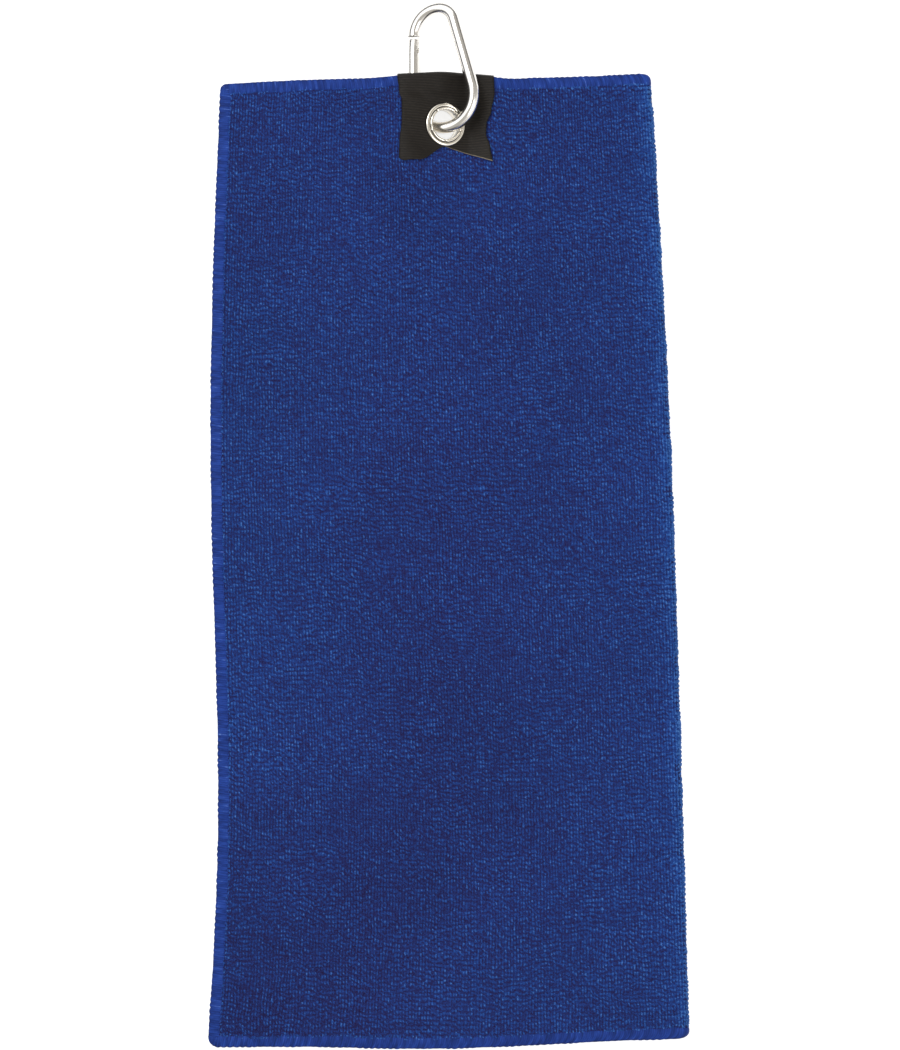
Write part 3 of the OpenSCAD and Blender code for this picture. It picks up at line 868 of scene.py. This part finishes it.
# The ribbon's side edges, drawn in at the eyelet.
RIBBON_LEFT = [(21, -19.1), (14, -18.4), (9, -17.2), (1, -17.2), (-8, -18.2), (-14.6, -18.4)]
RIBBON_RIGHT = [(21, 21), (13, 21.3), (6, 20), (0.5, 18), (-3.5, 17.8), (-9, 19.5), (-15, 20.5)]
RIB_STEP = 1.1


def build_ribbon():
    """Grosgrain ribbon over the top edge: its ribs run across and its tails are cut in a swallow's tail."""
    columns, step = 44, 0.25
    share = np.linspace(0, 1, columns + 1)[:, None]
    split_y = -6.0
    x_top = mix(RIBBON_LEFT[0][1], RIBBON_RIGHT[0][1], share)
    tail_rows = 34
    front_rows = round((TOP_Y + 0.4 - split_y) / step)
    fold = np.linspace(0, 1, 17)[1:-1][None]

    def place(y):
        return mix(knots(y, RIBBON_LEFT), knots(y, RIBBON_RIGHT), share)

    tail_x = x_top
    for _ in range(3):
        tail_x = place(tail_end(tail_x))
    t = np.linspace(0, 1, tail_rows + 1)[None, :-1]
    y_tail = mix(tail_end(tail_x), split_y, t)
    t = np.linspace(0, 1, front_rows + 1)[None]
    y_front = mix(split_y, tab_top(x_top), t)
    y_front = np.concatenate([y_tail, y_front], 1)
    y_back = mix(tab_top(x_top), -TAIL + 0 * x_top, np.linspace(0, 1, 140)[None])

    def surface(out):
        x = place(y_front)
        bow = 0.5 * np.sin(x / 7.5) + 0.9 * bell(x, 0, 9) * bell(y_front, -1, 9)
        rib = np.cos(2 * np.pi * (y_front + bow) / RIB_STEP)
        pleat = 0.5 * smooth((np.abs(x) - 10) / 6) * bell(y_front + 0.12 * x, -1, 2.2)
        relief = out * 0.075 * rib + pleat
        front = drape(x, y_front, STACK + 0 * x)
        front[..., 2] += tab_gap(x, y_front) + out * RIBBON_T / COS_E + relief
        xb = place(y_back)
        rib_b = np.cos(2 * np.pi * y_back / RIB_STEP)
        back = drape(xb, y_back, 0 * xb)
        back[..., 2] -= tab_gap(xb, y_back) + out * RIBBON_T / COS_E + out * 0.05 * rib_b
        back[..., 2] = np.maximum(back[..., 2], 0.02 * (2 - out))
        angle = np.pi / 2 - np.pi * fold
        reach = (0.9 + out * RIBBON_T) * np.cos(angle) * (1 + out * 0.1 * np.cos(20 * angle))
        high, low = front[:, -1:, 2], back[:, :1, 2]
        turn_z = mix(low, high, (1 + np.sin(angle)) / 2)
        turn = np.stack([x_top + 0 * angle, front[:, -1:, 1] + reach, turn_z], -1)
        return np.concatenate([front, turn, back], 1), rib, rib_b

    outer, rib, rib_b = surface(1)
    inner, _, _ = surface(0)
    middle = (outer[:-1, :-1] + outer[1:, 1:]) / 2
    points, quads, used = slab(outer, inner, hole_distance(middle) > CUT_R)
    edge = bell(share, 0.004, 0.012) + bell(share, 0.996, 0.012)
    cut_edge_and_highlight = np.zeros_like(y_front)
    # The right tail's cut end is light: partly the cut edge's brown, partly a painted highlight.
    cut_edge_and_highlight[:, :2] = np.where(x_top > 1, 0.95, 0.1)
    tone_front = 0.42 + 0.2 * rib - 0.12 * edge + cut_edge_and_highlight
    tone_turn = 0.42 + 0.2 * np.cos(20 * np.linspace(0, np.pi, fold.size))[None] + 0 * share
    tone = np.concatenate([tone_front, tone_turn, 0.42 + 0.2 * rib_b], 1)
    length = np.concatenate([y_front, 2 * TOP_Y - y_front[:, -1:] + 0 * tone_turn, 45 - y_back], 1)
    flat = np.stack([outer[..., 0], length, 0 * length], -1).reshape(-1, 3)
    tone = np.concatenate([tone.reshape(-1), 0 * tone.reshape(-1) + 0.4])[used]
    spread = {"flat": np.concatenate([flat, flat])[used], "tone": tone}
    return mesh("ribbon", points, [quads], ribbon, "towel", spread)


# ---------------- the eyelet and the snap clip
def round_arc(centre, r, first, last, count):
    """Points (x, y) on an arc, between two angles in degrees."""
    angles = np.radians(np.linspace(first, last, count))
    return [(centre[0] + r * math.cos(a), centre[1] + r * math.sin(a)) for a in angles]


def eyelet_piece(name, node, points, quads, painted_shade):
    # The point attribute darkens the nickel's colour: painted shade in the crevices.
    crease_shade = {"crease_shade": painted_shade.reshape(-1)}
    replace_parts(mesh(name, in_eyelet(points), [quads], nickel, "towel", crease_shade), node)


def build_eyelet():
    """The barrel's end is rolled over a domed washer, and it split in places as it rolled."""
    high = GRIP / 2
    low = -high
    curl, rise = 0.62, 0.68
    outer, steps = HOLE_R + BARREL_WALL, 180
    profile = [(outer, low), (outer, high - 0.02), (HOLE_R + curl - 0.05, high + 0.05)]
    profile += round_arc((HOLE_R + curl, high + rise), curl, -50, 180, 15)
    profile += [(HOLE_R, high), (HOLE_R, 0), (HOLE_R, low - 0.1)]
    profile += [(HOLE_R + 0.12, low - 0.34), (HOLE_R + 0.4, low - 0.5), (7.6, low - 0.5), (8.6, low - 0.5)]
    profile += [(8.9, low - 0.38), (9.0, low - 0.2), (8.9, low - 0.02), (8.5, low)]
    points, quads = revolve(profile, steps)
    angle = np.degrees(np.arctan2(points[..., 1], points[..., 0]))
    rolled = smooth((points[..., 2] - high) / 0.3)
    split = np.zeros_like(angle)
    for at, deep in ((-93, 1.0), (-21, 0.5), (52, 0.45), (128, 0.5), (198, 0.55)):
        away = (angle - at + 180) % 360 - 180
        split += deep * bell(away, 0, 3.2)
    r = np.hypot(points[..., 0], points[..., 1])
    toward = points[..., :2] / r[..., None] * (HOLE_R + curl)
    share = (0.55 * split * rolled)[..., None]
    points[..., :2] = mix(points[..., :2], toward, share)
    points[..., 2] = mix(points[..., 2], high + rise - 0.15, share[..., 0])
    r = np.hypot(points[..., 0], points[..., 1]) - HOLE_R
    # Painted shade: darker where the curl tucks down onto the washer and on the bore's wall, above the
    # barrel's top.
    painted_shade = 0.8 * smooth((r - 2 * curl + 0.25) / 0.2) + 0.75 * (1 - smooth((r - 0.02) / 0.1))
    painted_shade = painted_shade * smooth((points[..., 2] - high + 0.3) / 0.3)
    eyelet_piece("eyelet_rim", "eyelet_barrel", points, quads, painted_shade)
    ring = [(7.2, 2.09), (8.85, 2.09), (9.0, 2.2), (8.98, 2.36), (8.86, 2.55), (8.62, 2.72)]
    ring += [(8.3, 2.82), (8.0, 2.84), (7.75, 2.8), (7.52, 2.68), (7.34, 2.5), (7.22, 2.3)]
    points, quads = revolve(ring, steps)
    # Painted shade: the washer darkens at its inner edge, under the curl.
    painted_shade = 0.8 * (1 - smooth((np.hypot(points[..., 0], points[..., 1]) - 7.4) / 0.2))
    eyelet_piece("washer_ring", "eyelet_washer", points, quads, painted_shade)


# The clip's top: an arc of TOP_R on the gate's side, and a tighter one that meets the leaning side.
TOP_CENTRE = (TOP_R - BEND_R, SIDE_H)
LEAN_SIN, LEAN_COS = math.sin(math.radians(LEAN)), math.cos(math.radians(LEAN))
CROWN_R = (BEND_R * (1 + LEAN_SIN) - TOP_CENTRE[0] * LEAN_COS - (SIDE_H + TOP_R) * LEAN_SIN) / (1 - LEAN_SIN)
CROWN_CENTRE = (TOP_CENTRE[0], SIDE_H + TOP_R - CROWN_R)


def bar_middle():
    """Middle of the clip's bar as rows of x, y and the angle of its outward side."""
    rows = []

    def arc(centre, r, first, last, count):
        for a in np.linspace(first, last, count):
            c, s = math.cos(math.radians(a)), math.sin(math.radians(a))
            rows.append((centre[0] + r * c, centre[1] + r * s, a))

    arc((0, BEND_R), BEND_R, 180, 360 + LEAN, 60)
    x0, y0, lean = rows[-1]
    x1 = CROWN_CENTRE[0] + CROWN_R * LEAN_COS
    y1 = CROWN_CENTRE[1] + CROWN_R * LEAN_SIN
    for t in np.linspace(0, 1, 14)[1:-1]:
        rows.append((mix(x0, x1, t), mix(y0, y1, t), lean))
    arc(CROWN_CENTRE, CROWN_R, 360 + LEAN, 450, 24)
    arc(TOP_CENTRE, TOP_R, 450, 540, 34)
    kept = [rows[0]]
    for row in rows[1:]:
        if math.dist(row[:2], kept[-1][:2]) > 0.01:
            kept.append(row)
    return np.array(kept)


def sweep_bar(line, sides, chamfer):
    """Rings of the round bar along its middle line, with a small chamfer at both ends."""
    step = np.hypot(np.diff(line[:, 0]), np.diff(line[:, 1]))
    run = np.concatenate([[0], np.cumsum(step)])
    inner = (run > chamfer) & (run < run[-1] - chamfer)
    start = chamfer * np.array([0, 0.3, 1])
    stations = np.concatenate([start, run[inner], run[-1] - start[::-1]])
    x, y, a = (np.interp(stations, run, line[:, k]) for k in range(3))
    away = np.minimum(stations, run[-1] - stations)
    radius = WIRE_R - chamfer * (1 - np.sqrt(np.clip(1 - (1 - np.clip(away / chamfer, 0, 1)) ** 2, 0, 1)))
    b = np.arange(sides) * 2 * np.pi / sides
    out = radius[:, None] * np.cos(b)
    c, s = np.cos(np.radians(a))[:, None], np.sin(np.radians(a))[:, None]
    up = -radius[:, None] * np.sin(b)
    return np.stack([x[:, None] + out * c, y[:, None] + out * s, up], -1)


def plate(outline, half, edge):
    """Points and faces of a flat plate with its outline in x and y, and its rims broken by edge."""
    outline = np.array(outline, float)
    middle = outline.mean(0)
    way = outline - middle
    pulled = outline - way / np.maximum(np.hypot(way[:, 0], way[:, 1])[:, None], 1e-6) * edge
    layers = [(pulled, -half), (outline, -half + edge), (outline, half - edge), (pulled, half)]
    rings = np.array([[(x, y, z) for x, y in shape] for shape, z in layers])
    return ring_tube(rings)


def cut(obj, tools):
    """Cuts boxes and cylinders out of a mesh and leaves it plain, with no modifiers."""
    for tool in tools:
        modifier = obj.modifiers.new("cut", "BOOLEAN")
        modifier.operation = "DIFFERENCE"
        modifier.solver = "EXACT"
        modifier.object = tool
    bevel = obj.modifiers.new("edges", "BEVEL")
    bevel.width = 0.00014
    bevel.segments = 2
    bevel.limit_method = "ANGLE"
    bevel.angle_limit = math.radians(50)
    graph = bpy.context.evaluated_depsgraph_get()
    result = bpy.data.meshes.new_from_object(obj.evaluated_get(graph))
    obj.modifiers.clear()
    obj.data = result
    for tool in tools:
        bpy.data.objects.remove(tool)
    obj.data.shade_smooth()
    obj.data.set_sharp_from_angle(angle=math.radians(40))


def cutter(points, faces):
    data = bpy.data.meshes.new("cutter")
    corners = [tuple(p) for p in metres(in_clip(points))]
    data.from_pydata(corners, [], [tuple(int(k) for k in f) for group in faces for f in group])
    data.update()
    obj = bpy.data.objects.new("cutter", data)
    scene.collection.objects.link(obj)
    return obj


def box_cutter(x0, x1, y0, y1, z0, z1):
    rings = np.array([[(x0, y0, z), (x1, y0, z), (x1, y1, z), (x0, y1, z)] for z in (z0, z1)], float)
    return cutter(*ring_tube(rings))


def disc_rings(radii_and_heights, sides):
    """Rings about the z axis, for ring_tube()."""
    angles = np.arange(sides) * 2 * np.pi / sides
    return np.array([[(r * math.cos(a), r * math.sin(a), z) for a in angles] for r, z in radii_and_heights])


def along_gate(rings):
    """Rings about the z axis laid along the gate's line instead."""
    return np.stack([rings[..., 0] - BEND_R, rings[..., 2], -rings[..., 1]], -1)


def build_body():
    """The bent bar, with a flat tongue for the gate's hinge and a notched nose for its latch pin."""
    rings = sweep_bar(bar_middle(), 40, 0.35)
    points, faces = ring_tube(rings)
    painted_shade = np.zeros(rings.shape[:2])
    # Painted shade: the last two rings at the bar's cut end are darkened.
    painted_shade[-2:] = 0.75
    crease_shade = {"crease_shade": painted_shade.reshape(-1)}
    bar = mesh("clip_bar", in_clip(points), faces, clip_metal, "clip", crease_shade)
    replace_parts(bar, "clip_body")
    blade, thick = 2.15, 0.9
    left, right = -BEND_R - blade, -BEND_R + blade
    tongue = [(-BEND_R + x, y) for x, y in round_arc((0, PIVOT_Y), blade, 180, 360, 19)]
    tongue += [(right, SIDE_H + 0.3), (left, SIDE_H + 0.3)]
    points, faces = plate(tongue, thick, 0.15)
    tongue_piece = mesh("clip_tongue", in_clip(points), faces, clip_metal, "clip")
    notch = -BEND_R + 0.3
    nose = [(left, BEND_R - 0.3), (right, BEND_R - 0.3), (right, LATCH_Y - 1), (notch, LATCH_Y - 1)]
    nose += [(-BEND_R - 0.35, LATCH_Y), (notch, LATCH_Y + 1), (right, LATCH_Y + 1), (right, NOSE_Y - 0.4)]
    nose += [(-BEND_R + 1.7, NOSE_Y), (-BEND_R - 1.7, NOSE_Y), (left, NOSE_Y - 0.4)]
    rings = np.array([[(x, y, z) for x, y in nose] for z in (-thick, thick)], float)
    points, faces = ring_tube(rings)
    nose_piece = mesh("clip_nose", in_clip(points), faces, clip_metal, "clip", shade=False)
    for piece in (tongue_piece, nose_piece):
        piece.data.set_sharp_from_angle(angle=math.radians(35))


def build_gate():
    """The gate's bar, slotted at both ends and bored for its spring."""
    low, high = GATE_LOW, GATE_HIGH
    ends = [(0.001, low), (1.9, low), (2.3, low + 0.08), (WIRE_R, low + 0.35)]
    ends += [(WIRE_R, y) for y in (20.0, 26.0, 31.0)]
    ends += [(WIRE_R, high - 0.35), (2.3, high - 0.08), (1.9, high), (0.001, high)]
    points, faces = ring_tube(along_gate(disc_rings(ends, 64)))
    gate = mesh("gate_tube", in_clip(points), faces, clip_metal, "gate")
    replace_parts(gate, "clip_gate")
    past, slot = 6.0, 1.1
    left, right = -BEND_R - past, -BEND_R + past
    cut(
        gate,
        [
            box_cutter(left, right, PIVOT_Y - 3.1, high + past, -slot, slot),
            box_cutter(left, right, low - past, NOSE_Y + 1.4, -slot, slot),
            cutter(*ring_tube(along_gate(disc_rings([(1.0, 21.0), (1.0, 33.0)], 24)))),
        ],
    )


def build_pin(name, node, y, r):
    """A pin across the gate's bar, with a low domed head at each end."""
    flush = math.sqrt(WIRE_R**2 - r**2)
    head = [(0.05, flush + 0.13), (0.45 * r, flush + 0.12), (0.8 * r, flush + 0.08), (r, flush - 0.02)]
    rings = disc_rings([(a, -z) for a, z in head] + [(r, 0.0)] + head[::-1], 32)
    points, faces = ring_tube(rings + (-BEND_R, y, 0))
    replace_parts(mesh(name, in_clip(points), faces, steel, "gate"), node)


# ---------------- the part
sheet = build_sheet()
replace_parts(sheet, "towel_cloth")
last_share = 1 - 3.7 / PANEL_W
front_runs = [
    (MIDDLE, 0.965, 1, 10, 1, 1),
    (RIGHT_FOLD, 0, 1, 16, 1, 0),
    (FRONT, 0, last_share, 300, 0, 0),
]
back_runs = [
    (FLAP, 0.95, 1, 10, 0, 0),
    (LEFT_FOLD, 0, 1, 8, 0, 1),
    (MIDDLE, 0, 0.967, 200, 1, 1),
]
front_names = ["pile_front_lower", "pile_front_middle", "pile_front_upper"]
front = pile(front_names, front_runs, 0.62, 0.633, 11)
back = pile(["pile_back"], back_runs, 0.91, 0.95, 31)
hems = [
    end_hem("hem_top", "top_hem", True, 61),
    end_hem("hem_bottom", "bottom_hem", False, 71),
    side_hem("hem_front_edge", "front_edge_hem", FRONT, 81),
    side_hem("hem_inner_flap", "inner_flap_hem", FLAP, 91),
    needle_line("needle_thread", edge_places(4.45, 2.2, 7)),
]
tab = build_ribbon()
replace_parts(tab, "ribbon_tab")
build_eyelet()
build_body()
build_gate()
build_pin("gate_rivet_head", "gate_rivet", PIVOT_Y, RIVET_R)
build_pin("latch_pin_head", "latch_pin", LATCH_Y, LATCH_R)
for node in ("gate_spring", "spring_plunger"):
    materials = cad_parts[node].data.materials
    materials.clear()
    materials.append(steel)
